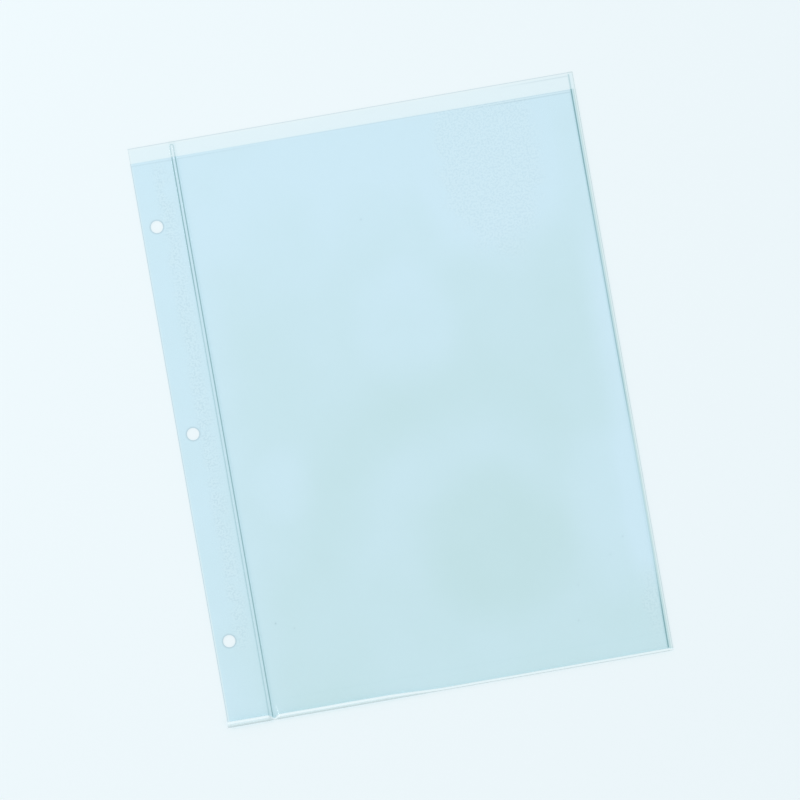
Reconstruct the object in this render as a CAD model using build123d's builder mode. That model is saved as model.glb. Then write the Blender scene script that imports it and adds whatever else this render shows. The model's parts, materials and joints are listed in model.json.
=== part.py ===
from build123d import *
from math import acos, atan2, degrees, hypot
import os

# A clear sheet protector. One film is folded up along the bottom edge into a back ply and a
# front ply, two welds close the sides of the pocket, and a punched margin takes binder rings.
# It lies on its back ply: X runs across the page, Y up the page and Z up from the table.

# Film, in millimetres
sheet_width = 231.8
sheet_height = 301.6
film_thickness = 0.25
ply_gap = 0.1

# Mouth at the top: the back ply's lip stands above the front ply. It widens a little from the
# binding edge to the far edge, and the front ply's cut edge has a low rim
mouth_lip = 7.8
mouth_skew = 1.0
mouth_rim_width = 1.2
mouth_rim_rise = 0.1

# Ring holes
hole_diameter = 6.35
hole_spacing = 107.95
hole_count = 3
hole_inset = 7.94
hole_lift = 0.9

# Welds: beads stand above the fused plies, and stop short of the sheet's ends
margin_width = 21.2
binding_bead_width = 0.9
binding_valley_width = 0.8
binding_valley_depth = 0.2
edge_bead_width = 1.1
edge_flange = 1.65
weld_bead_rise = 0.08
weld_head = 1.0
weld_foot = 1.7

# Bottom fold: a rounded bulge that dies out into the flat front ply, pinched at the welds. The
# pocket's fold stays fat for a run from the binding weld, then falls low up to the edge weld
fold_length = 10.0
fold_leg = 0.5
margin_fold_bulge = 2.4
pocket_fold_bulge = 1.8
pocket_fold_low_bulge = 0.45
pocket_fold_run = 55.0
pocket_fold_fall = 35.0
pocket_fall_steps = 6
fold_pinch_length = 2.0

# Moving film: the crease beside the binding weld, and the room round the front ply
crease_width = 0.75
front_clearance = 0.15

# Levels and lines worked out from those sizes
stack = 2 * film_thickness + ply_gap
front_floor = film_thickness + ply_gap
left = -sheet_width / 2
right = sheet_width / 2
bottom = -sheet_height / 2
top = sheet_height / 2
fold_seat = bottom + (stack + max(margin_fold_bulge, pocket_fold_bulge)) / 2 + fold_leg
fold_top = bottom + fold_length
weld_left = left + margin_width
weld_width = 2 * binding_bead_width + binding_valley_width
weld_right = weld_left + weld_width
pocket_left = weld_right + crease_width
edge_left = right - edge_flange - edge_bead_width
end_round = 0.45 * stack
corner = (Align.MIN, Align.MIN)

# How far the fold bulges at stations across the page
margin_fold_stations = [
    (left, margin_fold_bulge),
    (weld_left - fold_pinch_length, margin_fold_bulge),
    (weld_left, 0),
]
pocket_fold_stations = [
    (pocket_left, 0),
    (pocket_left + fold_pinch_length, pocket_fold_bulge),
]
for step in range(pocket_fall_steps + 1):
    along = step / pocket_fall_steps
    fallen = along * along * (3 - 2 * along)
    fall_x = pocket_left + pocket_fold_run + along * pocket_fold_fall
    fall_bulge = pocket_fold_bulge + fallen * (pocket_fold_low_bulge - pocket_fold_bulge)
    pocket_fold_stations.append((fall_x, fall_bulge))
pocket_fold_stations.append((edge_left - fold_pinch_length, pocket_fold_low_bulge))
pocket_fold_stations.append((edge_left, 0))


def front_top(x):
    # Where the front ply ends at x
    return top - mouth_lip - mouth_skew * (x - left) / sheet_width


def front_outline(low_x, high_x, low_y):
    # Corners of a stretch of the front ply, from a level foot up to the mouth
    return [
        (low_x, low_y),
        (high_x, low_y),
        (high_x, front_top(high_x)),
        (low_x, front_top(low_x)),
    ]


def tangent_angle(across, up, radius):
    # Direction, from a circle's centre, of the upper tangent point of a line to (across, up)
    return degrees(atan2(up, across) + acos(radius / hypot(across, up)))


def fold_circle(bulge):
    # Centre and radii of the film's turn, and the angles where its two faces leave the circles
    outer = (stack + bulge) / 2
    inner = outer - film_thickness
    centre = (bottom + outer, outer)
    reach = fold_top - centre[0]
    outer_end = tangent_angle(reach, stack - outer, outer)
    inner_end = tangent_angle(reach, front_floor - outer, inner)
    return centre, outer, inner, outer_end, inner_end


def turn_section(x, bulge):
    # The film's turn at x: a short back leg on the table, then round to the top of the bulge
    centre, outer, inner, outer_end, inner_end = fold_circle(bulge)
    with BuildSketch(Plane.YZ.offset(x)) as section:
        with BuildLine():
            Line((fold_seat, 0), (centre[0], 0))
            CenterArc(centre, outer, -90, -90)
            outer_turn = CenterArc(centre, outer, 180, outer_end - 180)
            inner_turn = CenterArc(centre, inner, inner_end, 180 - inner_end)
            Line(outer_turn @ 1, inner_turn @ 0)
            CenterArc(centre, inner, 180, 90)
            Line((centre[0], film_thickness), (fold_seat, film_thickness))
            Line((fold_seat, film_thickness), (fold_seat, 0))
        make_face()
    return section.sketch


def flare_section(x, bulge):
    # The front ply's foot at x: a straight slope from the turn down to the flat ply
    centre, outer, inner, outer_end, inner_end = fold_circle(bulge)
    with BuildSketch(Plane.YZ.offset(x)) as section:
        with BuildLine():
            outer_turn = CenterArc(centre, outer, 180, outer_end - 180, mode=Mode.PRIVATE)
            inner_turn = CenterArc(centre, inner, 180, inner_end - 180, mode=Mode.PRIVATE)
            Polyline(
                outer_turn @ 1,
                (fold_top, stack),
                (fold_top, front_floor),
                inner_turn @ 1,
                close=True,
            )
        make_face()
    return section.sketch


def weld_bead(left_x, width, surface, low_y, high_y):
    # A low rounded bead that runs up the page on a level surface
    with BuildPart() as bead:
        with BuildSketch(Plane.XZ.offset(-high_y)):
            with BuildLine():
                crown = SagittaArc((left_x, surface), (left_x + width, surface), weld_bead_rise)
                Line(crown @ 1, crown @ 0)
            make_face()
        extrude(amount=high_y - low_y)
    return bead.part


def mouth_rim(low_x, high_x):
    # The rim along the front ply's cut edge
    start = Vector(low_x, front_top(low_x))
    edge = Vector(high_x, front_top(high_x)) - start
    with BuildPart() as rim:
        with BuildSketch(Plane.YZ.offset(low_x)):
            with BuildLine():
                crown = SagittaArc((start.Y - mouth_rim_width, stack), (start.Y, stack), mouth_rim_rise)
                Line(crown @ 1, crown @ 0)
            make_face()
        extrude(amount=edge.length, dir=edge.normalized())
    return rim.part


os.makedirs("parts", exist_ok=True)

# The welds are narrow, so each steps down to one ply at one height
binding_mouth = front_top(weld_left + weld_width / 2)
edge_mouth = front_top((edge_left + right) / 2)
front_right = edge_left - front_clearance

# Back ply of the margin, up to the sheet's top edge
with BuildPart() as margin_back:
    with BuildSketch():
        with Locations((left, fold_seat)):
            Rectangle(margin_width, top - fold_seat, align=corner)
        with Locations((left + hole_inset, hole_lift)):
            with GridLocations(0, hole_spacing, 1, hole_count):
                Circle(hole_diameter / 2, mode=Mode.SUBTRACT)
    extrude(amount=film_thickness)

# Front ply of the margin, as high as the pocket's mouth
with BuildPart() as margin_front:
    with BuildSketch(Plane.XY.offset(front_floor)):
        with BuildLine():
            Polyline(*front_outline(left, weld_left, fold_top), close=True)
        make_face()
        with Locations((left + hole_inset, hole_lift)):
            with GridLocations(0, hole_spacing, 1, hole_count):
                Circle(hole_diameter / 2, mode=Mode.SUBTRACT)
    extrude(amount=film_thickness)
    add(mouth_rim(left, weld_left))

# Bottom fold of the margin: open at the free edge, pinched at the weld
with BuildPart() as margin_fold:
    turns = [turn_section(x, bulge) for x, bulge in margin_fold_stations]
    loft(sections=turns, ruled=True)

# Foot of the margin's front ply, from the fold down to the flat film
with BuildPart() as margin_flare:
    flares = [flare_section(x, bulge) for x, bulge in margin_fold_stations]
    loft(sections=flares, ruled=True)

# Binding weld: fused plies below the mouth, one ply above it, two beads with a valley between
with BuildPart() as binding_weld:
    with BuildSketch():
        with Locations((weld_left, bottom)):
            Rectangle(weld_width, binding_mouth - bottom, align=corner)
    extrude(amount=stack)
    with BuildSketch():
        with Locations((weld_left, binding_mouth)):
            Rectangle(weld_width, top - binding_mouth, align=corner)
    extrude(amount=film_thickness)
    fillet(binding_weld.edges().filter_by(Axis.X).group_by(Axis.Y)[0], radius=end_round)
    with BuildSketch(Plane.XY.offset(stack)):
        with Locations((weld_left + binding_bead_width, bottom + weld_foot)):
            Rectangle(binding_valley_width, binding_mouth - bottom - weld_foot, align=corner)
    extrude(amount=-binding_valley_depth, mode=Mode.SUBTRACT)
    for bead_left in (weld_left, weld_right - binding_bead_width):
        add(weld_bead(bead_left, binding_bead_width, stack, bottom + weld_foot, binding_mouth))
        add(weld_bead(bead_left, binding_bead_width, film_thickness, binding_mouth, top - weld_head))

# Crease: the film beside the weld, at mid-thickness, that bends when the page turns
with BuildPart() as hinge_crease:
    with BuildSketch(Plane.XY.offset((stack - film_thickness) / 2)):
        with Locations((weld_right, bottom)):
            Rectangle(crease_width, sheet_height, align=corner)
    extrude(amount=film_thickness)

# Back ply of the pocket, with the lip above the mouth
with BuildPart() as pocket_back:
    with BuildSketch():
        with Locations((pocket_left, fold_seat)):
            Rectangle(edge_left - pocket_left, top - fold_seat, align=corner)
    extrude(amount=film_thickness)

# Bottom fold of the pocket: fat beside the binding weld, flat at the edge weld
with BuildPart() as bottom_fold:
    turns = [turn_section(x, bulge) for x, bulge in pocket_fold_stations]
    loft(sections=turns, ruled=True)

# Foot of the pocket's front ply, from the fold down to the flat film
with BuildPart() as pocket_flare:
    flares = [flare_section(x, bulge) for x, bulge in pocket_fold_stations]
    loft(sections=flares, ruled=True)

# Edge weld: one bead and a fused flange out to the cut edge
with BuildPart() as edge_weld:
    with BuildSketch():
        with Locations((edge_left, bottom)):
            Rectangle(right - edge_left, edge_mouth - bottom, align=corner)
    extrude(amount=stack)
    with BuildSketch():
        with Locations((edge_left, edge_mouth)):
            Rectangle(right - edge_left, top - edge_mouth, align=corner)
    extrude(amount=film_thickness)
    fillet(edge_weld.edges().filter_by(Axis.X).group_by(Axis.Y)[0], radius=end_round)
    add(weld_bead(edge_left, edge_bead_width, stack, bottom + weld_foot, edge_mouth))
    add(weld_bead(edge_left, edge_bead_width, film_thickness, edge_mouth, top - weld_head))

# Front ply of the pocket: bends up from the bottom fold to open the mouth
with BuildPart() as pocket_front:
    with BuildSketch(Plane.XY.offset(front_floor)):
        with BuildLine():
            Polyline(*front_outline(pocket_left, front_right, fold_top + front_clearance), close=True)
        make_face()
    extrude(amount=film_thickness)
    add(mouth_rim(pocket_left, front_right))

margin_back.part.label = "margin_back"
margin_front.part.label = "margin_front"
margin_fold.part.label = "margin_fold"
margin_flare.part.label = "margin_flare"
binding_weld.part.label = "binding_weld"
hinge_crease.part.label = "hinge_crease"
pocket_back.part.label = "pocket_back"
bottom_fold.part.label = "bottom_fold"
pocket_flare.part.label = "pocket_flare"
edge_weld.part.label = "edge_weld"
pocket_front.part.label = "pocket_front"

export_step(margin_back.part, "parts/margin_back.step")
export_step(margin_front.part, "parts/margin_front.step")
export_step(margin_fold.part, "parts/margin_fold.step")
export_step(margin_flare.part, "parts/margin_flare.step")
export_step(binding_weld.part, "parts/binding_weld.step")
export_step(hinge_crease.part, "parts/hinge_crease.step")
export_step(pocket_back.part, "parts/pocket_back.step")
export_step(bottom_fold.part, "parts/bottom_fold.step")
export_step(pocket_flare.part, "parts/pocket_flare.step")
export_step(edge_weld.part, "parts/edge_weld.step")
export_step(pocket_front.part, "parts/pocket_front.step")
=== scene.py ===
import json
import math

import bpy
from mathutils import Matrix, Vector


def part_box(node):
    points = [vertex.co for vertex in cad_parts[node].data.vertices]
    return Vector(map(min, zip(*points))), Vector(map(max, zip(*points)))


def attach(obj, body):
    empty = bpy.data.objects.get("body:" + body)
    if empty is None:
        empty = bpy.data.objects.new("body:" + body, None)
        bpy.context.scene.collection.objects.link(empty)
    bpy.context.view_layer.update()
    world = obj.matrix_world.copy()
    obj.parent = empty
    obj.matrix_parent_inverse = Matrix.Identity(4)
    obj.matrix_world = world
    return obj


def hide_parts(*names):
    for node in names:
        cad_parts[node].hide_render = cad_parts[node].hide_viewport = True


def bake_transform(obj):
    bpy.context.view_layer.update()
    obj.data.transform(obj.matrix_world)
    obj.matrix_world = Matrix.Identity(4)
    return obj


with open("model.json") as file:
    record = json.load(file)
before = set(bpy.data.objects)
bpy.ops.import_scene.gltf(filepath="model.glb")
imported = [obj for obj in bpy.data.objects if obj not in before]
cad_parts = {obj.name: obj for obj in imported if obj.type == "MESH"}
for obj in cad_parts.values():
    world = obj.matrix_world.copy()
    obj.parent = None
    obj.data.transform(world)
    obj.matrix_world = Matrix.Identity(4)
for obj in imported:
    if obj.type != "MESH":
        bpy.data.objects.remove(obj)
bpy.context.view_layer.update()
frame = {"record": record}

scene = bpy.context.scene
mm = 0.001


# Lines and levels of the page in millimetres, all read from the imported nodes
def corners(node):
    low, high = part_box(node)
    return low / mm, high / mm


backLow, backHigh = corners("margin_back")
plyLow, plyHigh = corners("margin_front")
turnLow, turnHigh = corners("margin_fold")
weldLow, weldHigh = corners("binding_weld")
pocketLow, pocketHigh = corners("pocket_back")
flangeHigh = corners("edge_weld")[1]
frontHigh = corners("pocket_front")[1]

leftEdge, weldLeft, weldRight = backLow.x, weldLow.x, weldHigh.x
pocketLeft, edgeLeft, rightEdge = pocketLow.x, pocketHigh.x, flangeHigh.x
bottomEdge, foldSeat, foldTop = turnLow.y, backLow.y, plyLow.y
mouthLine, topEdge = plyHigh.y, backHigh.y          # the mouth at the left edge
mouthFall = (mouthLine - frontHigh.y) / (pocketLeft - leftEdge)     # and its fall to the right
pageWidth, pageHeight = rightEdge - leftEdge, topEdge - bottomEdge
filmThick, frontFloor = backHigh.z, plyLow.z
stackHeight = frontFloor + filmThick
middle = (pocketLeft + edgeLeft) / 2
ringHoles = [m for m in frame["record"]["mounts"] if m["name"].startswith("ring_hole")]
holeRadius = ringHoles[0]["dims"]["r_mm"]
holeX = ringHoles[0]["pos_m"][0] / mm
holeRows = sorted(m["pos_m"][1] / mm for m in ringHoles)


def mouthAt(x):
    return mouthLine - mouthFall * (x - leftEdge)


def ease(t):                                        # 0 to 1 with level ends
    t = min(1.0, max(0.0, t))
    return t * t * (3 - 2 * t)


def spread(low, high, count):                       # even stations, both ends included
    return [low + (high - low) * i / count for i in range(count + 1)]


# Camera straight above, turned so that the page leans as it does in the photograph
cameraLook = {
    "lens": 100.0,
    "frameWidth": 410.7,                            # millimetres of table across the picture
    "turn": -9.91,
    "imageSize": 800,
    "pageCentre": (400.455, 399.615),               # pixels
}


def placeCamera(look):
    data = bpy.data.cameras.new("overhead")
    data.lens = look["lens"]
    camera = bpy.data.objects.new("overhead", data)
    turn = math.radians(look["turn"])
    perPixel = look["frameWidth"] * mm / look["imageSize"]
    right = (look["imageSize"] / 2 - look["pageCentre"][0]) * perPixel
    up = (look["pageCentre"][1] - look["imageSize"] / 2) * perPixel
    height = look["frameWidth"] * mm * look["lens"] / data.sensor_width
    camera.location = (
        right * math.cos(turn) - up * math.sin(turn),
        right * math.sin(turn) + up * math.cos(turn),
        height + stackHeight * mm,
    )
    camera.rotation_euler = (0, 0, turn)
    scene.collection.objects.link(camera)
    scene.camera = camera


placeCamera(cameraLook)
print("camera placed")


# Shader sockets as Python values
class Wire:
    def __init__(self, finish, socket):
        self.finish = finish
        self.socket = socket

    def maths(self, operation, other=0.0, swapped=False):
        pair = (other, self) if swapped else (self, other)
        return self.finish.node("ShaderNodeMath", {"operation": operation}, {0: pair[0], 1: pair[1]})

    def __add__(self, other):
        return self.maths("ADD", other)

    def __sub__(self, other):
        return self.maths("SUBTRACT", other)

    def __rsub__(self, other):
        return self.maths("SUBTRACT", other, True)

    def __mul__(self, other):
        return self.maths("MULTIPLY", other)

    def __truediv__(self, other):
        return self.maths("DIVIDE", other)

    def __pow__(self, other):
        return self.maths("POWER", other)

    def __abs__(self):
        return self.maths("ABSOLUTE")

    __radd__ = __add__
    __rmul__ = __mul__

    def atMost(self, other):
        return self.maths("MINIMUM", other)

    def atLeast(self, other):
        return self.maths("MAXIMUM", other)


class Finish:                                       # one material, and the nodes that it is made of
    def __init__(self, name):
        self.material = bpy.data.materials.new(name)
        self.material.use_nodes = True
        self.tree = self.material.node_tree
        self.tree.nodes.clear()

    def node(self, kind, settings=None, sockets=None, output=0):
        made = self.tree.nodes.new(kind)
        for key, value in (settings or {}).items():
            setattr(made, key, value)
        for key, value in (sockets or {}).items():
            if isinstance(value, Wire):
                self.tree.links.new(value.socket, made.inputs[key])
            else:
                made.inputs[key].default_value = value
        return Wire(self, made.outputs[output]) if made.outputs else None

    def layout(self, name):                         # a stored map's two numbers in millimetres, and both
        stored = self.node("ShaderNodeUVMap", {"uv_map": name})
        first, second = (self.node("ShaderNodeSeparateXYZ", None, {0: stored}, i) for i in range(2))
        return first, second, stored

    def step(self, value, low, high):               # eased 0 to 1 from low to high, either way round
        return self.node(
            "ShaderNodeMapRange",
            {"interpolation_type": "SMOOTHSTEP"},
            {"Value": value, "From Min": low, "From Max": high},
        )

    def line(self, value, centre, width, soft):     # 1 on a line, easing to 0 beside it
        away = abs(value - centre)
        return 1 - self.step(away, width / 2 - soft / 2, width / 2 + soft / 2)

    def window(self, value, low, high, soft):       # 1 between two limits
        above = self.step(value, low - soft / 2, low + soft / 2)
        return above * self.step(value, high + soft / 2, high - soft / 2)

    def away(self, across, down, centre):           # distance from a point of the page
        overX = across - centre[0]
        overY = down - centre[1]
        return (overX * overX + overY * overY) ** 0.5

    def patch(self, across, down, centre, size):    # a soft oval, 1 at its centre
        overX = (across - centre[0]) / size[0]
        overY = (down - centre[1]) / size[1]
        return self.step(overX * overX + overY * overY, 1.0, 0.0)

    def grain(self, place, size, detail):           # noise with grains of about this size
        return self.node(
            "ShaderNodeTexNoise",
            None,
            {"Vector": place, "Scale": 1 / size, "Detail": detail, "Roughness": 0.5},
        )

    def ripples(self, height, distance):            # a bump for the Normal sockets
        return self.node(
            "ShaderNodeBump",
            None,
            {"Strength": 1.0, "Distance": distance, "Height": height},
        )

    def clear(self, tint):                          # a film face that passes this tint
        return self.node("ShaderNodeBsdfTransparent", None, {"Color": (*tint, 1)})

    def mix(self, share, first, second):
        return self.node("ShaderNodeMixShader", None, {0: share, 1: first, 2: second})

    def tone(self, share, first, second):           # a colour between two
        return self.node("ShaderNodeMix", {"data_type": "RGBA"}, {0: share, 6: first, 7: second}, 2)

    def close(self, shader):
        self.node("ShaderNodeOutputMaterial", None, {"Surface": shader})
        return self.material

    def closeFilm(self, shader, shadowTint):        # rays from the lamps meet a plain tint
        fromLamp = self.node("ShaderNodeLightPath", None, None, 1)
        return self.close(self.mix(fromLamp, shader, self.clear(shadowTint)))


# Floor, world and lamps
studioLook = {
    "floorSize": 8.0,
    "floorDrop": 0.0001,
    "floorColour": (0.875, 0.95, 0.975),
    "floorRoughness": 0.9,
    "floorShine": 0.1,
    "worldColour": (0.965, 0.985, 1.0),
    "worldStrength": 0.65,
    "keyPlace": (-1.88, 1.19, 2.38),
    "keySize": 1.5,
    "keyPower": 38.4,
    "fillPlace": (1.5, -0.9, 1.8),
    "fillSize": 1.5,
    "fillPower": 9.0,
    "filmFaces": 48,                                # many film faces lie behind each other
    "sureFaces": 40,                                # and rays go on through these, which is less grainy
    "bounces": 8,
    "sureBounces": 6,
    "floorBounces": 3,
}


def areaLamp(name, place, size, power):
    data = bpy.data.lights.new(name, "AREA")
    data.size = size
    data.energy = power
    lamp = bpy.data.objects.new(name, data)
    lamp.location = place
    lamp.rotation_euler = (-Vector(place)).to_track_quat("-Z", "Y").to_euler()
    scene.collection.objects.link(lamp)


def makeStudio(look):
    half = look["floorSize"] / 2
    mesh = bpy.data.meshes.new("floor")
    ring = [(-half, -half), (half, -half), (half, half), (-half, half)]
    mesh.from_pydata([(x, y, -look["floorDrop"]) for x, y in ring], [], [(0, 1, 2, 3)])
    floor = bpy.data.objects.new("floor", mesh)
    scene.collection.objects.link(floor)
    paper = Finish("floorPaper")
    matt = paper.node(
        "ShaderNodeBsdfPrincipled",
        None,
        {
            "Base Color": (*look["floorColour"], 1),
            "Roughness": look["floorRoughness"],
            "Specular IOR Level": look["floorShine"],
        },
    )
    mesh.materials.append(paper.close(matt))

    world = bpy.data.worlds.new("softRoom")
    world.use_nodes = True
    sky = world.node_tree.nodes["Background"]
    sky.inputs["Color"].default_value = (*look["worldColour"], 1)
    sky.inputs["Strength"].default_value = look["worldStrength"]
    scene.world = world
    areaLamp("keyLamp", look["keyPlace"], look["keySize"], look["keyPower"])
    areaLamp("fillLamp", look["fillPlace"], look["fillSize"], look["fillPower"])
    scene.view_settings.view_transform = "Standard"
    scene.cycles.transparent_max_bounces = look["filmFaces"]
    scene.cycles.min_transparent_bounces = look["sureFaces"]
    scene.cycles.max_bounces = look["bounces"]
    scene.cycles.min_light_bounces = look["sureBounces"]
    scene.cycles.diffuse_bounces = look["floorBounces"]


makeStudio(studioLook)
print("studio lit")


# The film. Its path runs from 0 at the back ply's top edge down to 1 at the fold's seat, round
# the turn to 2, down the flare to 3 and up the front ply to 4 at the mouth.
foldLook = {
    "legShare": 0.15,                               # of the turn's path, flat on the table
    "leaveSlope": 1.25,                             # beside the mean slope of the flare
    "fatRun": 55.0,                                 # the pocket's fold stays fat this far from the weld
    "fall": 35.0,                                   # and falls over this
    "lowShare": 0.25,                               # to this share of its bulge
    "notchSoft": 0.8,                               # roundness of the notch that the crease bends in
    "endPinch": 3.0,                                # the bulge dies out over this at the right edge
    "ripple": 0.05,                                 # slow variation of the bulge along the fold
    "rippleLength": 32.0,
    "halvings": 22,                                 # for finding the height of the fold's outer face
}
marginBulge = turnHigh.z - stackHeight
pocketBulge = corners("bottom_fold")[1].z - stackHeight
creaseX = (weldRight + pocketLeft) / 2
creaseWidth = pocketLeft - weldRight


def bulgeAt(x):                                     # how far the bottom fold stands above the flat plies
    look = foldLook
    bulge = marginBulge + (pocketBulge - marginBulge) * ease((x - weldLeft) / (pocketLeft - weldLeft))
    bulge *= 1 - ease((x - pocketLeft - look["fatRun"]) / look["fall"]) * (1 - look["lowShare"])
    ripple = (1 - math.cos((x - leftEdge) / look["rippleLength"] * math.tau)) / 2
    bulge *= 1 - look["ripple"] * ripple
    room = max(0.0, abs(x - creaseX) - creaseWidth / 2)     # the page turns up to a right angle
    near = max(0.0, 1 - abs(bulge - room) / look["notchSoft"])
    bulge = min(bulge, room) - near * near * look["notchSoft"] / 4
    return max(0.0, bulge) * ease((rightEdge - x) / look["endPinch"])


def foldTurn(bulge):                                # outer radius, and the slope that the film leaves it at
    outer = (stackHeight + bulge) / 2
    return outer, math.atan(foldLook["leaveSlope"] * bulge / (foldTop - bottomEdge - outer))


def backAlong(y):
    return (y - topEdge) / (foldSeat - topEdge)


def frontAlong(y):
    return 3 + (y - foldTop) / (mouthLine - foldTop)


def filmPath(along, bulge):                         # (y, z), outward (y, z), path from the fold's crest
    outer, slope = foldTurn(bulge)
    radius = outer - filmThick / 2
    centre = bottomEdge + outer
    leg = foldLook["legShare"]
    if along <= 1:
        y = topEdge + (foldSeat - topEdge) * along
        return (y, filmThick / 2), (0, -1), centre - y - math.pi * radius
    if along <= 1 + leg:
        y = foldSeat + (centre - foldSeat) * (along - 1) / leg
        return (y, filmThick / 2), (0, -1), centre - y - math.pi * radius
    if along <= 2:
        beyond = (math.pi + slope) * (along - 1 - leg) / (1 - leg)
        out = (math.cos(-math.pi / 2 - beyond), math.sin(-math.pi / 2 - beyond))
        return (centre + radius * out[0], outer + radius * out[1]), out, radius * (beyond - math.pi)
    leave = (centre + radius * math.sin(slope), outer + radius * math.cos(slope))
    if along <= 3:
        t = along - 2
        foot = (foldTop, frontFloor + filmThick / 2)
        reach = foot[0] - leave[0]
        hold, holdSlope = 2 * t**3 - 3 * t**2 + 1, t**3 - 2 * t**2 + t
        footSlope = t**3 - t**2
        y = hold * leave[0] + (1 - hold) * foot[0] + reach * (holdSlope * math.cos(slope) + footSlope)
        z = hold * leave[1] + (1 - hold) * foot[1] - reach * holdSlope * math.sin(slope)
        bend, bendSlope = 6 * t * t - 6 * t, 3 * t * t - 4 * t + 1
        rise = bend * (leave[1] - foot[1]) - reach * bendSlope * math.sin(slope)
        run = -bend * reach + reach * (bendSlope * math.cos(slope) + 3 * t * t - 2 * t)
        size = math.hypot(rise, run)
        return (y, z), (-rise / size, run / size), radius * slope + y - leave[0]
    y = foldTop + (mouthLine - foldTop) * (along - 3)
    return (y, frontFloor + filmThick / 2), (0, 1), radius * slope + y - leave[0]


def buildPiece(name, points, faces, pageSpots, foldSpots):
    mesh = bpy.data.meshes.new(name)
    mesh.from_pydata([tuple(p * mm for p in point) for point in points], [], faces)
    for mapName, spots in (("page", pageSpots), ("fold", foldSpots)):
        stored = mesh.uv_layers.new(name=mapName).uv
        for loop in mesh.loops:
            stored[loop.index].vector = spots[loop.vertex_index]
    mesh.shade_smooth()
    mesh.set_sharp_from_angle(angle=math.radians(rimLook["sharp"]))
    piece = bpy.data.objects.new(name, mesh)
    scene.collection.objects.link(piece)
    return piece


def pageSpot(x, y):                                 # place on the page from its top left corner
    return x - leftEdge, topEdge - y


rimLook = {
    "sharp": 20,                                    # degrees from which an edge shows
    "joinNear": 0.01,                               # a rim this near to the next piece stays open
    "round": 0.07,                                  # cut edges of the film
    "steps": 4,
    "mouthRise": 0.06,                              # low rim along the mouth
    "mouthWidth": 1.2,
    "mouthPitch": 0.2,
    "mouthReach": 20.0,                             # the front ply is drawn to its slanted edge over this
}


class FilmMesh:                                     # the middle of a film, which shell() makes solid
    def __init__(self):
        self.points, self.outward, self.faces = [], [], []
        self.pageSpots, self.foldSpots = [], []

    def spot(self, x, along, lift=0.0):
        bulge = bulgeAt(x)
        (y, z), out, fromCrest = filmPath(along, bulge)
        if along > 3:
            below = mouthLine - y
            lift += rimLook["mouthRise"] * max(0.0, 1 - (2 * below / rimLook["mouthWidth"] - 1) ** 2)
            y -= (mouthLine - mouthAt(x)) * ease(1 - below / rimLook["mouthReach"])
        self.points.append(Vector((x, y, z + lift)))
        self.outward.append(Vector((0, *out)))
        self.pageSpots.append(pageSpot(x, y))
        self.foldSpots.append((fromCrest, bulge))
        return len(self.points) - 1

    def row(self, columns, along, lift=None):
        return [self.spot(x, along, lift(x, along) if lift else 0.0) for x in columns]

    def join(self, first, second):
        for i in range(len(first) - 1):
            self.faces.append((first[i], first[i + 1], second[i + 1], second[i]))

    def run(self, start, columns, stations, lift=None):     # on from a row; returns the last row
        for along in stations:
            made = self.row(columns, along, lift)
            if start:
                self.join(start, made)
            start = made
        return start

    def punch(self, first, second, along, centre, rings):       # film round a ring hole, between two rows
        lowY, highY = self.points[first[0]].y, self.points[second[0]].y
        levels = spread(lowY, highY, len(first) - 1)[1:-1]
        rightSide = [self.spot(self.points[first[-1]].x, along(y)) for y in levels]
        leftSide = [self.spot(self.points[first[0]].x, along(y)) for y in levels]
        outer = first + rightSide + second[::-1] + leftSide[::-1]
        outline = [Vector((self.points[i].x, self.points[i].y)) for i in outer]
        for share in rings:
            inner = []
            for mark in outline:
                edge = centre + (mark - centre).normalized() * holeRadius
                place = edge + (mark - edge) * share
                inner.append(self.spot(place.x, along(place.y)))
            for i in range(len(outer)):
                j = (i + 1) % len(outer)
                self.faces.append((outer[i], outer[j], inner[j], inner[i]))
            outer = inner

    def shell(self, name, joined):                  # joined(point): the next piece starts there
        used = set()
        for face in self.faces:
            used.update(zip(face, face[1:] + face[:1]))
        rim = [(a, b) for a, b in sorted(used) if (b, a) not in used]
        pull = {i: Vector((0, 0, 0)) for edge in rim for i in edge}
        for a, b in rim:
            if joined(self.points[a]) and joined(self.points[b]):
                continue
            side = (self.points[b] - self.points[a]).cross(self.outward[a]).normalized()
            pull[a] += side
            pull[b] += side
        points, pageSpots, foldSpots = [], [], []

        def put(i, turn):
            side = pull[i].normalized() * rimLook["round"] if i in pull else Vector((0, 0, 0))
            shift = side * (math.cos(turn) - 1) + self.outward[i] * (math.sin(turn) * filmThick / 2)
            points.append(self.points[i] + shift)
            pageSpots.append(self.pageSpots[i])
            foldSpots.append(self.foldSpots[i])
            return len(points) - 1

        count = len(self.points)
        upper = [put(i, math.pi / 2) for i in range(count)]
        lower = [put(i, -math.pi / 2) for i in range(count)]
        faces = [tuple(upper[i] for i in face) for face in self.faces]
        faces += [tuple(lower[i] for i in reversed(face)) for face in self.faces]
        steps = rimLook["steps"]
        turns = [math.pi / 2 - math.pi * k / steps for k in range(1, steps)]
        chain = {i: [upper[i]] + [put(i, turn) for turn in turns] + [lower[i]] for i in sorted(pull)}
        for a, b in rim:
            for k in range(steps):
                faces.append((chain[b][k], chain[a][k], chain[a][k + 1], chain[b][k + 1]))
        return buildPiece(name, points, faces, pageSpots, foldSpots)


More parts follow.
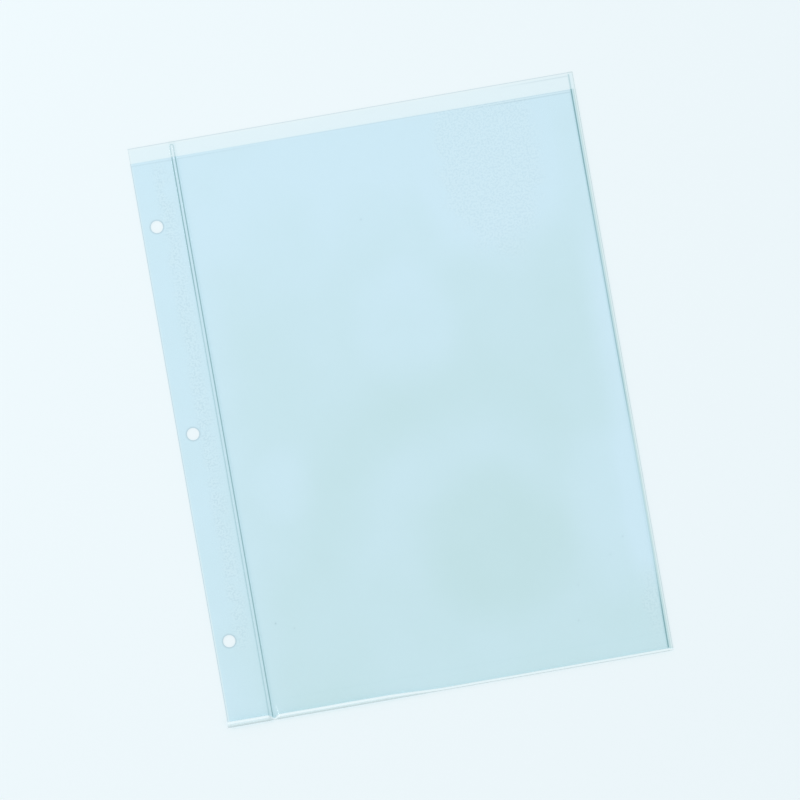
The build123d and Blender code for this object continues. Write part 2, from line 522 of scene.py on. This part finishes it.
# What each finish of the film shows, by its place on the page in millimetres from the top left corner
filmLook = {
    "cool": (0.967, 0.989, 1.0),                    # what one face passes where the film is bluest
    "green": (0.942, 0.972, 0.968),                 # and where it is greenest
    "light": (0.992, 1.0, 1.0),
    "shade": (0.826, 0.862, 0.878),
    "shadow": (0.962, 0.988, 0.993),                # what one face leaves of a lamp's light
    # colour of the whitened film: its own haze, and the painted highlight on the fold's ridge
    "paleColour": (0.84, 0.955, 0.985, 1),
    "deepColour": (0.60, 0.70, 0.69, 1),            # painted shade on the fold's outer side
    "haze": 0.006,
    "headOn": 0.014,                                # share mirrored by a face seen head on
    "grazing": 0.8,                                 # and by one seen edge on
    "wavesGrain": 34.0,
    "wavesHeight": 0.0003,
    "milkRoughness": 0.35,
    "glossRoughness": (0.02, 0.1),                  # at the least, and what the waves add
}


def glossShare(m, headOn):                          # share that a face mirrors, rising towards grazing
    facing = m.node("ShaderNodeLayerWeight", None, {"Blend": 0.5}, 1)
    return headOn + (filmLook["grazing"] - headOn) * facing**5


cloudLook = {
    "across": 0.08,                                 # greener towards the right edge
    "down": 0.12,                                   # and towards the fold
    "billow": 0.3,
    "lower": (30, 130),                             # greener from here down, most of it right of the weld
    "pocket": (10, 45),
    "lowerShare": (0.03, 0.25),
    "edge": (213, 229),                             # cooler along the right edge
    "edgeRun": (85, 265, 50),
    "edgeShare": 0.4,
    "patches": (                                    # centre, half size and share; below 0 is cooler
        ((152, 232), (48, 50), 0.27),
        ((40, 285), (45, 80), 0.11),
        ((200, 112), (38, 44), 0.06),
        ((214, 225), (30, 55), -0.22),
        ((181, 38), (44, 64), -0.3),
        ((124, 113), (34, 40), -0.2),
        ((112, 18), (48, 32), -0.1),
        ((48, 184), (20, 24), -0.2),
    ),
    "ringCentre": (148, 240),
    "rings": ((87, 30, 0.12), (58, 26, -0.1)),      # radius, width and share
    "ringsFoot": (265, 215),
    "ringsEnd": (205, 170),
}


def cloudOf(m, across, down, billow):               # 0 where the film is cool, 1 where it is greenest
    look = cloudLook
    cloud = across * (look["across"] / pageWidth) + down * (look["down"] / pageHeight)
    cloud += (billow - 0.5) * look["billow"]
    margin, pocket = look["lowerShare"]
    cloud += m.step(down, *look["lower"]) * (m.step(across, *look["pocket"]) * pocket + margin)
    cloud -= m.step(across, *look["edge"]) * m.window(down, *look["edgeRun"]) * look["edgeShare"]
    for centre, size, share in look["patches"]:
        cloud += m.patch(across, down, centre, size) * share
    away = m.away(across, down, look["ringCentre"])
    rings = sum(m.line(away, radius, width, width) * share for radius, width, share in look["rings"])
    cloud += rings * m.step(down, *look["ringsFoot"]) * m.step(across, *look["ringsEnd"])
    return cloud.atLeast(0).atMost(1)


def paintedFoldColour(m, fromCrest, bulge):                # painted highlight white on the ridge, painted shade deeper on the outside of the turn
    over = fromCrest / ((bulge + stackHeight) * 0.5)
    return m.tone(m.step(over, *foldLightLook["deepen"]), filmLook["paleColour"], filmLook["deepColour"])


def hazeAndFoldLightOf(m, fromCrest, bulge, roughness, waves):  # whitened film: the film's own haze, and the fold's painted highlight and shade
    return m.node(
        "ShaderNodeBsdfPrincipled",
        None,
        {"Base Color": paintedFoldColour(m, fromCrest, bulge), "Roughness": roughness, "Normal": waves},
    )


def glossOf(m, billow, roughness, waves):
    least, more = roughness
    return m.node("ShaderNodeBsdfGlossy", None, {"Roughness": billow * more + least, "Normal": waves})


def filmFinish(name, lightMarks, paleMarks, darkMarks):
    m = Finish(name)
    across, down, place = m.layout("page")
    fromCrest, bulge = m.layout("fold")[:2]
    spots = (m, across, down, place, fromCrest, bulge)
    m.specks = m.step(m.grain(place, clingLook["grain"], 0), *clingLook["soft"])
    billow = m.grain(place, filmLook["wavesGrain"], 1)
    cloud = cloudOf(m, across, down, billow)
    film = m.mix(cloud, m.clear(filmLook["cool"]), m.clear(filmLook["green"]))
    # light marks clear the film, partly as painted glow at the edges; dark marks hold dust and painted
    # shade
    for marks, tint in ((lightMarks, filmLook["light"]), (darkMarks, filmLook["shade"])):
        share = sum(mark(*spots) for mark in marks).atMost(1)
        film = m.mix(share, film, m.clear(tint))
    pale = filmLook["haze"]
    # the film's own haze, and the marks' painted highlight and shade on the fold
    if paleMarks:
        pale = sum([mark(*spots) for mark in paleMarks], pale).atMost(1)
    waves = m.ripples(billow, filmLook["wavesHeight"])
    body = m.mix(pale, film, hazeAndFoldLightOf(m, fromCrest, bulge, filmLook["milkRoughness"], waves))
    gloss = glossOf(m, billow, filmLook["glossRoughness"], waves)
    return m.closeFilm(m.mix(glossShare(m, filmLook["headOn"]), body, gloss), filmLook["shadow"])


holeShadeLook = {"rim": (1.0, 0.1), "share": 0.3}        # painted shade: a soft grey ring round the punched edge


# painted shade round each ring hole
def holeRimShade(m, across, down, place, fromCrest, bulge):
    far, near = holeShadeLook["rim"]
    rims = []
    for y in holeRows:
        away = m.away(across, down, (holeX - leftEdge, topEdge - y))
        rims.append(m.step(away, holeRadius + far, holeRadius + near))
    return sum(rims) * holeShadeLook["share"]


edgeLook = {
    "topGlow": (0.25, 0.95, 0.2),                   # painted glow: the film is clearer just inside the cut edges, as though light came out there
    "sideGlow": (0.25, 0.85, 0.2),
    "sideGrows": (150, 240),                        # at the side more of it lower down
    "sideShare": (0.5, 0.4),
    "cut": (0.3, 0.15),                             # and painted shade greys the cut itself
    "topCut": 0.6,
    "sideCut": 0.35,
}


# painted glow just inside the cut edges
def paintedEdgeGlow(m, across, down, place, fromCrest, bulge):
    least, more = edgeLook["sideShare"]
    side = m.window(across, *edgeLook["sideGlow"]) * (m.step(down, *edgeLook["sideGrows"]) * more + least)
    return m.window(down, *edgeLook["topGlow"]) + side


# painted shade on the cut edges
def paintedEdgeShade(m, across, down, place, fromCrest, bulge):
    top = m.step(down, *edgeLook["cut"]) * edgeLook["topCut"]
    return top + m.step(across, *edgeLook["cut"]) * edgeLook["sideCut"]


def belowMouth(across, down):                       # distance below the front ply's edge
    return down - across * mouthFall - (topEdge - mouthLine)


lipLook = {
    "edge": (0.2, -0.2),
    "clearer": 0.6,                                 # the lip is a single ply
    "hook": (1.8, 0.5, 0.4),                        # the edge weld's print along it
    "hookFrom": (185, 222),
    "hookShare": 0.3,
}


def lipGlow(m, across, down, place, fromCrest, bulge):
    return m.step(belowMouth(across, down), *lipLook["edge"]) * lipLook["clearer"]


def lipHook(m, across, down, place, fromCrest, bulge):
    return m.line(down, *lipLook["hook"]) * m.step(across, *lipLook["hookFrom"]) * lipLook["hookShare"]


dustSpots = (                                       # across, down, size and depth
    (111.8, 56.3, 0.6, 0.6),
    (33.0, 253.0, 0.65, 0.65),
    (42.1, 257.1, 0.6, 0.5),
    (186.5, 278.2, 0.6, 0.45),
    (216.2, 239.6, 0.6, 0.5),
    (208.5, 247.7, 0.6, 0.45),
    (189.4, 260.3, 0.55, 0.4),
)


def dust(m, across, down, place, fromCrest, bulge):
    return sum(m.patch(across, down, (x, y), (size, size)) * depth for x, y, size, depth in dustSpots)


clingLook = {                                       # the pocket's plies cling together in specks
    "grain": 1.05,                                  # millimetres from speck to speck
    "soft": (0.36, 0.56),
    "gaps": 0.066,                                  # the film is darker between the specks
    "glow": 0.2,                                    # and clearer in them
    "patches": (                                    # centre, half size and share
        ((182, 32), (35, 73), 1.0),
        ((224.5, 276), (7, 32), 0.6),
    ),
    "tatter": 9.0,                                  # their ragged outline
    "tatterDepth": 1.2,
    "fade": (0.15, 0.7),
    "mouth": (-0.1, 0.4),
}
streakLook = {                                      # and the margin's rub into a mottled streak
    "band": (10.5, 19.5, 4),
    "bandShare": 0.8,
    "core": (14, 4, 4),
    "coreShare": 0.4,
    "run": (12, 262, 14),
    "tatter": 7.0,
    "fade": (0.25, 0.55),
    "gaps": 0.0891,
}


def streakPatch(m, across, down, place):
    streak = m.window(across, *streakLook["band"]) * streakLook["bandShare"]
    streak += m.line(across, *streakLook["core"]) * streakLook["coreShare"]
    ragged = m.step(m.grain(place, streakLook["tatter"], 2), *streakLook["fade"])
    return streak * ragged * m.window(down, *streakLook["run"])


def streakGaps(m, across, down, place, fromCrest, bulge):
    return streakPatch(m, across, down, place) * (1 - m.specks) * streakLook["gaps"]


def streakGlow(m, across, down, place, fromCrest, bulge):
    return streakPatch(m, across, down, place) * m.specks * clingLook["glow"]


def clingPatch(m, across, down, place):
    ragged = (m.grain(place, clingLook["tatter"], 3) - 0.5) * clingLook["tatterDepth"]
    for centre, size, share in clingLook["patches"]:
        ragged += m.patch(across, down, centre, size) * share
    return m.step(ragged, *clingLook["fade"]) * m.step(belowMouth(across, down), *clingLook["mouth"])


def clingGaps(m, across, down, place, fromCrest, bulge):
    return clingPatch(m, across, down, place) * (1 - m.specks) * clingLook["gaps"]


def clingGlow(m, across, down, place, fromCrest, bulge):
    return clingPatch(m, across, down, place) * m.specks * clingLook["glow"]


foldLightLook = {                                       # painted highlight on the fold's ridge and painted shade over its turn, laid on as whitened film
    "ridgeAt": 0.78,                                # times the turn's outer radius from the crest
    "ridge": (0.95, 0.5),
    "ridgeShare": 0.9,
    "turn": ((0.8, 0.5), (-1.9, -0.9)),
    "turnShare": 0.6,
    "deepen": (0.5, -1.5),
}


# painted highlight along the ridge, and painted light and shade over the outside of the turn
def paintedFoldLight(m, across, down, place, fromCrest, bulge):
    outer = (bulge + stackHeight) * 0.5
    over = fromCrest / outer
    ridge = m.line(fromCrest - outer * foldLightLook["ridgeAt"], 0.0, *foldLightLook["ridge"])
    start, end = foldLightLook["turn"]
    turn = m.step(over, *start) * m.step(over, *end)
    return ridge * foldLightLook["ridgeShare"] + turn * foldLightLook["turnShare"]


mouthLook = {                                       # painted shade along the front ply's edge, in millimetres below it
    "cut": (0.3, 0.45, 0.3),
    "cutGrows": (40, 110),
    "cutShare": (0.05, 0.2),
    "foot": (1.4, 0.6, 0.4),                        # and painted shade at the foot of its low rim
    "footShare": 0.35,
    "leftEnd": (85, 30),
    "leftShare": 0.6,
    "farEnd": (165, 205),
    "rim": (0.5, 1.1, 0.3),                         # lighter at the far end
    "rimShare": 0.7,
    "marginShare": 0.5,                             # the margin's lines are fainter
}


# painted shade along the front ply's edge and at the foot of its rim
def mouthShadeLines(m, across, down, place, fromCrest, bulge):
    below = belowMouth(across, down)
    ends = m.step(across, *mouthLook["leftEnd"]) * mouthLook["leftShare"]
    ends += m.step(across, *mouthLook["farEnd"])
    least, more = mouthLook["cutShare"]
    cut = m.line(below, *mouthLook["cut"]) * (m.step(across, *mouthLook["cutGrows"]) * more + least)
    return cut + m.line(below, *mouthLook["foot"]) * ends * mouthLook["footShare"]


def marginMouthShade(*spots):
    return mouthShadeLines(*spots) * mouthLook["marginShare"]


def mouthRim(m, across, down, place, fromCrest, bulge):
    rim = m.window(belowMouth(across, down), *mouthLook["rim"])
    return rim * m.step(across, *mouthLook["farEnd"]) * mouthLook["rimShare"]


# Margin: both plies, the fold between them and the ring holes, one piece of film
marginLook = {
    "columns": 20,
    "holeBlock": 9.0,                               # half height of the film worked round a hole
    "holeRings": (0.62, 0.36, 0.16, 0.06, 0.0),
    "rowPitch": 14.0,
    "turnSteps": 18,
    "flareSteps": 12,
}


def onward(start, end, pitch):                      # stations after start, up to end
    return spread(start, end, max(1, round(abs(end - start) / pitch)))[1:]


def mouthStations():                                # closely worked along the mouth's rim
    rows = onward(mouthLine - rimLook["mouthWidth"], mouthLine, rimLook["mouthPitch"])
    return [frontAlong(y) for y in rows]


def makeMargin(look):
    film = FilmMesh()
    columns = spread(leftEdge, weldLeft, look["columns"])

    def punchedPly(row, at, end, along, holes):
        way = look["holeBlock"] if end > at else -look["holeBlock"]
        for hole in holes:
            row = film.run(row, columns, [along(y) for y in onward(at, hole - way, look["rowPitch"])])
            at = hole + way
            beyond = film.row(columns, along(at))
            film.punch(row, beyond, along, Vector((holeX, hole)), look["holeRings"])
            row = beyond
        return film.run(row, columns, [along(y) for y in onward(at, end, look["rowPitch"])])

    row = punchedPly(film.row(columns, 0), topEdge, foldSeat, backAlong, holeRows[::-1])
    row = film.run(row, columns, spread(1, 2, look["turnSteps"])[1:])
    row = film.run(row, columns, spread(2, 3, look["flareSteps"])[1:])
    row = punchedPly(row, foldTop, mouthLine - rimLook["mouthWidth"], frontAlong, holeRows)
    film.run(row, columns, mouthStations())
    piece = film.shell("marginFilm", lambda point: point.x > weldLeft - rimLook["joinNear"])
    finish = filmFinish(
        "marginFilmFinish",
        [paintedEdgeGlow, lipGlow, mouthRim, streakGlow],
        [paintedFoldLight],
        [holeRimShade, paintedEdgeShade, streakGaps, marginMouthShade],
    )
    piece.data.materials.append(finish)
    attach(piece, "binding_margin")
    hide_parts("margin_back", "margin_front", "margin_fold", "margin_flare")


makeMargin(marginLook)
print("margin made")


# Pocket's back ply, with the fold and the foot of the front ply
pocketLook = {
    "columns": 84,
    "notch": 2.8,                                   # closely worked beside the crease
    "notchColumns": 14,
    "rowPitch": 20.0,
    "turnSteps": 18,
    "flareSteps": 12,
}


def pocketColumns(look):
    near = spread(pocketLeft, pocketLeft + look["notch"], look["notchColumns"])
    return near + onward(near[-1], edgeLeft, (edgeLeft - near[-1]) / look["columns"])


def makePocketBack(look):
    film = FilmMesh()
    columns = pocketColumns(look)
    rows = [topEdge] + onward(topEdge, foldSeat, look["rowPitch"])
    row = film.run(None, columns, [backAlong(y) for y in rows])
    row = film.run(row, columns, spread(1, 2, look["turnSteps"])[1:])
    film.run(row, columns, spread(2, 3, look["flareSteps"])[1:])
    piece = film.shell("pocketBackFilm", lambda point: point.y < topEdge - rimLook["joinNear"])
    finish = filmFinish(
        "pocketFilmFinish",
        [paintedEdgeGlow, lipGlow, clingGlow],
        [paintedFoldLight],
        [lipHook, paintedEdgeShade, clingGaps],
    )
    piece.data.materials.append(finish)
    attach(piece, "pocket")
    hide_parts("pocket_back", "bottom_fold", "pocket_flare")


makePocketBack(pocketLook)
print("pocket back made")


# Pocket's front ply, in two halves that meet in the middle.
frontLook = {
    "columns": 44,
    "rowPitch": 7.0,
    "airHeight": 0.35,                              # slack film lies in slow waves over the back ply
    "airEdge": 24.0,
    "waves": ((0.28, 23, 61, 0.6), (0.22, 41, -37, 2.1)),       # size, lengths across and up, start
}


def airUnder(x, along):
    y = foldTop + (mouthLine - foldTop) * (along - 3)
    nearest = min(x - pocketLeft, edgeLeft - x, y - foldTop, mouthLine - y)
    wave = 0.5
    for size, overX, overY, start in frontLook["waves"]:
        wave += size * math.sin(x / overX + y / overY + start)
    return frontLook["airHeight"] * wave * ease(nearest / frontLook["airEdge"])


def makeFrontHalf(name, side, look):
    film = FilmMesh()
    columns = spread(min(side, middle), max(side, middle), look["columns"])
    rimFoot = mouthLine - rimLook["mouthWidth"]
    stations = [frontAlong(y) for y in [foldTop] + onward(foldTop, rimFoot, look["rowPitch"])]
    film.run(None, columns, stations + mouthStations(), airUnder)
    piece = film.shell(name, lambda point: point.y < mouthAt(point.x) - rimLook["joinNear"])
    finish = bpy.data.materials.get("frontFilmFinish")
    if finish is None:
        dark = [mouthShadeLines, dust, clingGaps]
        finish = filmFinish("frontFilmFinish", [mouthRim, clingGlow], [], dark)
    piece.data.materials.append(finish)
    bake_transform(piece)
    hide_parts("pocket_front")


makeFrontHalf("frontFilmLeft", pocketLeft, frontLook)
makeFrontHalf("frontFilmRight", edgeLeft, frontLook)
print("front ply made")


def foldFace(y, bulge):                             # outer face over y: height, and path from the crest
    slope = foldTurn(bulge)[1]
    leg = foldLook["legShare"]
    low, high = 1 + leg + (1 - leg) * math.pi / 2 / (math.pi + slope), 3.0
    for halving in range(foldLook["halvings"]):
        along = (low + high) / 2
        (midY, midZ), out, fromCrest = filmPath(along, bulge)
        if midY + out[0] * filmThick / 2 < y:
            low = along
        else:
            high = along
    return midZ + out[1] * filmThick / 2, fromCrest


# Welds and the crease: solid strips with a worked upper face
def buildStrip(name, columns, rows, upper, lower):
    across = len(columns)
    sheet = across * len(rows)
    points = [(x, y, level(x, y)) for level in (upper, lower) for y in rows for x in columns]
    faces = []
    for j in range(len(rows) - 1):
        for i in range(across - 1):
            a = j * across + i
            faces.append((a, a + 1, a + across + 1, a + across))
            faces.append((sheet + a, sheet + a + across, sheet + a + across + 1, sheet + a + 1))
    foot = list(range(across))
    right = [j * across + across - 1 for j in range(1, len(rows))]
    head = [sheet - 1 - i for i in range(1, across)]
    left = [j * across for j in range(len(rows) - 2, -1, -1)]
    ring = foot + right + head + left
    for a, b in zip(ring, ring[1:]):
        faces.append((sheet + a, sheet + b, b, a))
    pageSpots = [pageSpot(x, y) for x, y, z in points]
    foldSpots = [(foldFace(y, bulgeAt(x))[1], bulgeAt(x)) for y in rows for x in columns]
    return buildPiece(name, points, faces, pageSpots, foldSpots * 2)


weldLook = {
    "columns": 26,
    "beadWidth": 0.9,
    "rise": 0.08,
    "valleyDepth": 0.2,
    "valleySoft": 0.5,
    "head": 1.0,                                    # bare film above the beads
    "headRun": 0.4,
    "foot": 1.7,                                    # and below them
    "footRun": 0.5,
    "ramp": 0.35,                                   # step down to the single ply at the mouth
    "mouthRun": 0.4,
    "cutRound": 0.05,
    "blunt": 0.02,                                  # half the thickness left at the fold's end
}
rowsLook = {                                        # how closely the strips are worked
    "turnHeight": 3.2,                              # above the bottom edge
    "turnRows": 22,
    "flarePitch": 0.5,
    "plyPitch": 7.0,
    "mouthRun": (1.0, 0.4),                         # below and above the mouth's edge
    "mouthPitch": 0.1,
    "lipPitch": 2.0,
    "headRun": 0.3,
    "headPitch": 0.1,
}
pinBeads = (weldLeft + weldLook["beadWidth"] / 2, weldRight - weldLook["beadWidth"] / 2)
pinRadius = (pinBeads[1] - pinBeads[0]) / 2
pinMiddle = (pinBeads[0] + pinBeads[1]) / 2
pinTurn = topEdge - weldLook["head"] - weldLook["beadWidth"] / 2 - pinRadius


def beadProfile(away, width):
    return weldLook["rise"] * max(0.0, 1 - (2 * away / width) ** 2)


def stripTop(x, y):                                 # the fold, the fused plies, one ply above the mouth
    if y < foldTop:
        bulge = bulgeAt(x)
        return max(foldFace(y, bulge)[0], foldTurn(bulge)[0] + weldLook["blunt"])
    step = (stackHeight - filmThick) * ease((mouthAt(x) - y) / weldLook["ramp"])
    return filmThick + step - cutFall(topEdge - y)


def stripUnder(x, y):
    outer = foldTurn(bulgeAt(x))[0]
    inward = max(0.0, bottomEdge + outer - y)
    under = outer - math.sqrt(max(0.0, outer**2 - inward**2))
    return min(under, outer - weldLook["blunt"]) + cutFall(topEdge - y)


def cutFall(inward):                                # how far a face closes in at a cut edge
    return weldLook["cutRound"] * (1 - ease(inward / weldLook["cutRound"]))


def stripRows(x):
    look = rowsLook
    mouth, cut = mouthAt(x), weldLook["cutRound"]
    below, above = look["mouthRun"]
    rows = [bottomEdge + look["turnHeight"] * t**2 for t in spread(0, 1, look["turnRows"])]
    for end, pitch in (
        (foldTop, look["flarePitch"]),
        (mouth - below, look["plyPitch"]),
        (mouth + above, look["mouthPitch"]),
        (pinTurn - look["headRun"], look["lipPitch"]),
        (topEdge - 2 * cut, look["headPitch"]),
    ):
        rows += onward(rows[-1], end, pitch)
    return rows + [topEdge - cut, topEdge]


def beadStart(y):                                   # the beads rise above the fold
    return ease((y - bottomEdge - weldLook["foot"]) / weldLook["footRun"] + 0.5)


def underMouth(x, y):                               # 0 at the mouth's edge, 1 a little below it
    return ease((mouthAt(x) - y) / weldLook["mouthRun"])


def bindingTop(x, y):
    if y < pinTurn:
        away = min(abs(x - pinBeads[0]), abs(x - pinBeads[1]))
    else:
        away = abs(math.hypot(x - pinMiddle, y - pinTurn) - pinRadius)
    inValley = ease((pinRadius - abs(x - pinMiddle)) / weldLook["valleySoft"] - 0.5) * underMouth(x, y)
    worked = beadProfile(away, weldLook["beadWidth"]) - weldLook["valleyDepth"] * inValley
    return stripTop(x, y) + beadStart(y) * worked


seamLook = {                                        # the edge weld, and the painted shade of its dark line
    "columns": 25,
    "beadWidth": 1.1,
    "wander": 0.45,                                 # it wanders a little down the page
    "wanderTo": 225,
    "wanderBack": 60,
    "line": (0.1, 0.5),
    "lineShare": (0.6, 0.35),
    "darkEnds": ((85, 40), (262, 284)),
    "fadeDown": 222,
    "fadeSize": (60, 62),
    "fade": 0.6,
    "headSoft": 0.2,
    "lipFade": 0.65,
}


def edgeBeadX(y):
    down = topEdge - y
    back = ease((pageHeight - down) / seamLook["wanderBack"])
    wander = seamLook["wander"] * ease(down / seamLook["wanderTo"]) * back
    return edgeLeft + seamLook["beadWidth"] / 2 + wander


def edgeTop(x, y):
    ends = beadStart(y) * ease((topEdge - weldLook["head"] - y) / weldLook["headRun"])
    bead = beadProfile(abs(x - edgeBeadX(y)), seamLook["beadWidth"])
    return stripTop(x, y) - cutFall(rightEdge - x) + ends * bead


def edgeUnder(x, y):
    return stripUnder(x, y) + cutFall(rightEdge - x)


weldTint = {
    "cool": (0.93, 0.974, 0.995),                   # fused plies, as deep in two faces as both in four
    "green": (0.883, 0.94, 0.934),
    # painted shade in the welds' dark lines
    "line": (0.60, 0.73, 0.74),
    "flange": (0.895, 0.94, 0.93),
    "flangeFrom": (1.1, 1.6),
    # painted shade on the weld's cut edges, and painted glow just inside its side edge
    "cut": (0.84, 0.88, 0.88),
    "sideCut": (0.25, 0.1),
    "sideGlow": (0.2, 0.8, 0.2),
    "single": (0.1, -0.3),                          # one ply above the mouth
    "singleGlow": 0.55,
    "shadow": (0.925, 0.972, 0.982),
    "haze": 0.02,
    "headOn": 0.025,
    "grain": 3.0,
    "waverHeight": 0.00004,
    "milkRoughness": 0.3,
    "glossRoughness": (0.04, 0.1),
}


def weldFinish(name, lines=None):
    m = Finish(name)
    across, down, place = m.layout("page")
    fromCrest, bulge = m.layout("fold")[:2]
    inward = pageWidth - across
    single = m.step(belowMouth(across, down), *weldTint["single"])
    billow = m.grain(place, weldTint["grain"], 1)
    cloud = cloudOf(m, across, down, billow)
    film = m.mix(cloud, m.clear(weldTint["cool"]), m.clear(weldTint["green"]))
    outside = m.step(across - (edgeLeft - leftEdge), *weldTint["flangeFrom"])
    film = m.mix(outside, film, m.clear(weldTint["flange"]))
    film = m.mix(single, film, m.clear(filmLook["cool"]))
    # painted glow inside the cut edges, and a clearer single ply above the mouth
    light = m.window(down, *edgeLook["topGlow"]) + m.window(inward, *weldTint["sideGlow"])
    light = (light + single * weldTint["singleGlow"]).atMost(1)
    film = m.mix(light, film, m.clear(filmLook["light"]))
    # painted shade along the weld's dark lines
    if lines:
        film = m.mix(lines(m, across, down, single), film, m.clear(weldTint["line"]))
    # painted shade on the cut edges
    cut = m.step(down, *edgeLook["cut"]).atLeast(m.step(inward, *weldTint["sideCut"]))
    film = m.mix(cut, film, m.clear(weldTint["cut"]))
    waver = m.ripples(billow, weldTint["waverHeight"])
    # the fold's painted highlight and shade, and the film's own faint haze
    pale = (paintedFoldLight(m, across, down, place, fromCrest, bulge) + billow * weldTint["haze"]).atMost(1)
    body = m.mix(pale, film, hazeAndFoldLightOf(m, fromCrest, bulge, weldTint["milkRoughness"], waver))
    gloss = glossOf(m, billow, weldTint["glossRoughness"], waver)
    return m.closeFilm(m.mix(glossShare(m, weldTint["headOn"]), body, gloss), weldTint["shadow"])


pinLook = {                                         # painted shade in the binding weld's two dark lines, joined at the top
    "line": 0.4,
    "leftSide": (0.2, -0.2),
    "leftFades": (65, 100),
    "leftFade": 0.6,
    "footSoft": 0.3,
    "lipFade": 0.6,
}


def aboveFoot(m, down):                             # the lines end above the fold
    foot = pageHeight - weldLook["foot"]
    return m.step(down, foot + pinLook["footSoft"], foot - pinLook["footSoft"])


# painted shade in the binding weld's lines
def bindingShadeLines(m, across, down, single):
    overX = across - (pinMiddle - leftEdge)
    overY = (topEdge - pinTurn - down).atLeast(0)
    away = abs((overX * overX + overY * overY) ** 0.5 - pinRadius)
    lines = 1 - m.step(away, 0.0, pinLook["line"])
    faint = m.step(overX, *pinLook["leftSide"]) * m.step(down, *pinLook["leftFades"])
    lines *= 1 - faint * pinLook["leftFade"]
    return lines * aboveFoot(m, down) * (1 - single * pinLook["lipFade"])


# painted shade in the edge weld's line
def edgeShadeLines(m, across, down, single):
    look = seamLook
    wander = m.step(down, 0, look["wanderTo"]) * m.step(pageHeight - down, 0, look["wanderBack"])
    centre = wander * look["wander"] + (edgeLeft + look["beadWidth"] / 2 - leftEdge)
    seam = 1 - m.step(abs(across - centre), *look["line"])
    seam *= 1 - m.patch(across, down, (pageWidth, look["fadeDown"]), look["fadeSize"]) * look["fade"]
    seam *= m.step(down, weldLook["head"] - look["headSoft"], weldLook["head"] + look["headSoft"])
    ends = sum(m.step(down, *end) for end in look["darkEnds"])
    least, more = look["lineShare"]
    return seam * aboveFoot(m, down) * (1 - single * look["lipFade"]) * (ends * more + least)


def makeBindingWeld(look):
    columns = spread(weldLeft, weldRight, look["columns"])
    piece = buildStrip("bindingWeld", columns, stripRows(pinMiddle), bindingTop, stripUnder)
    piece.data.materials.append(weldFinish("bindingWeldFinish", bindingShadeLines))
    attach(piece, "binding_margin")
    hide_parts("binding_weld")


def makeEdgeWeld(look):
    cut = weldLook["cutRound"]
    columns = spread(edgeLeft, rightEdge - 2 * cut, look["columns"]) + [rightEdge - cut, rightEdge]
    piece = buildStrip("edgeWeld", columns, stripRows(edgeLeft), edgeTop, edgeUnder)
    piece.data.materials.append(weldFinish("edgeWeldFinish", edgeShadeLines))
    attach(piece, "pocket")
    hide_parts("edge_weld")


creaseLook = {"columns": 10, "groove": 0.12}


def makeCrease(look):
    def grooved(x, y):
        dip = look["groove"] * math.sin(math.pi * (x - weldRight) / creaseWidth) * underMouth(x, y)
        return stripTop(x, y) - dip * ease(y - foldTop)

    columns = spread(weldRight, pocketLeft, look["columns"])
    piece = buildStrip("creaseFilm", columns, stripRows(creaseX), grooved, stripUnder)
    piece.data.materials.append(weldFinish("creaseFilmFinish"))
    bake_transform(piece)
    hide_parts("hinge_crease")


makeBindingWeld(weldLook)
makeEdgeWeld(seamLook)
makeCrease(creaseLook)
print("welds and crease made")
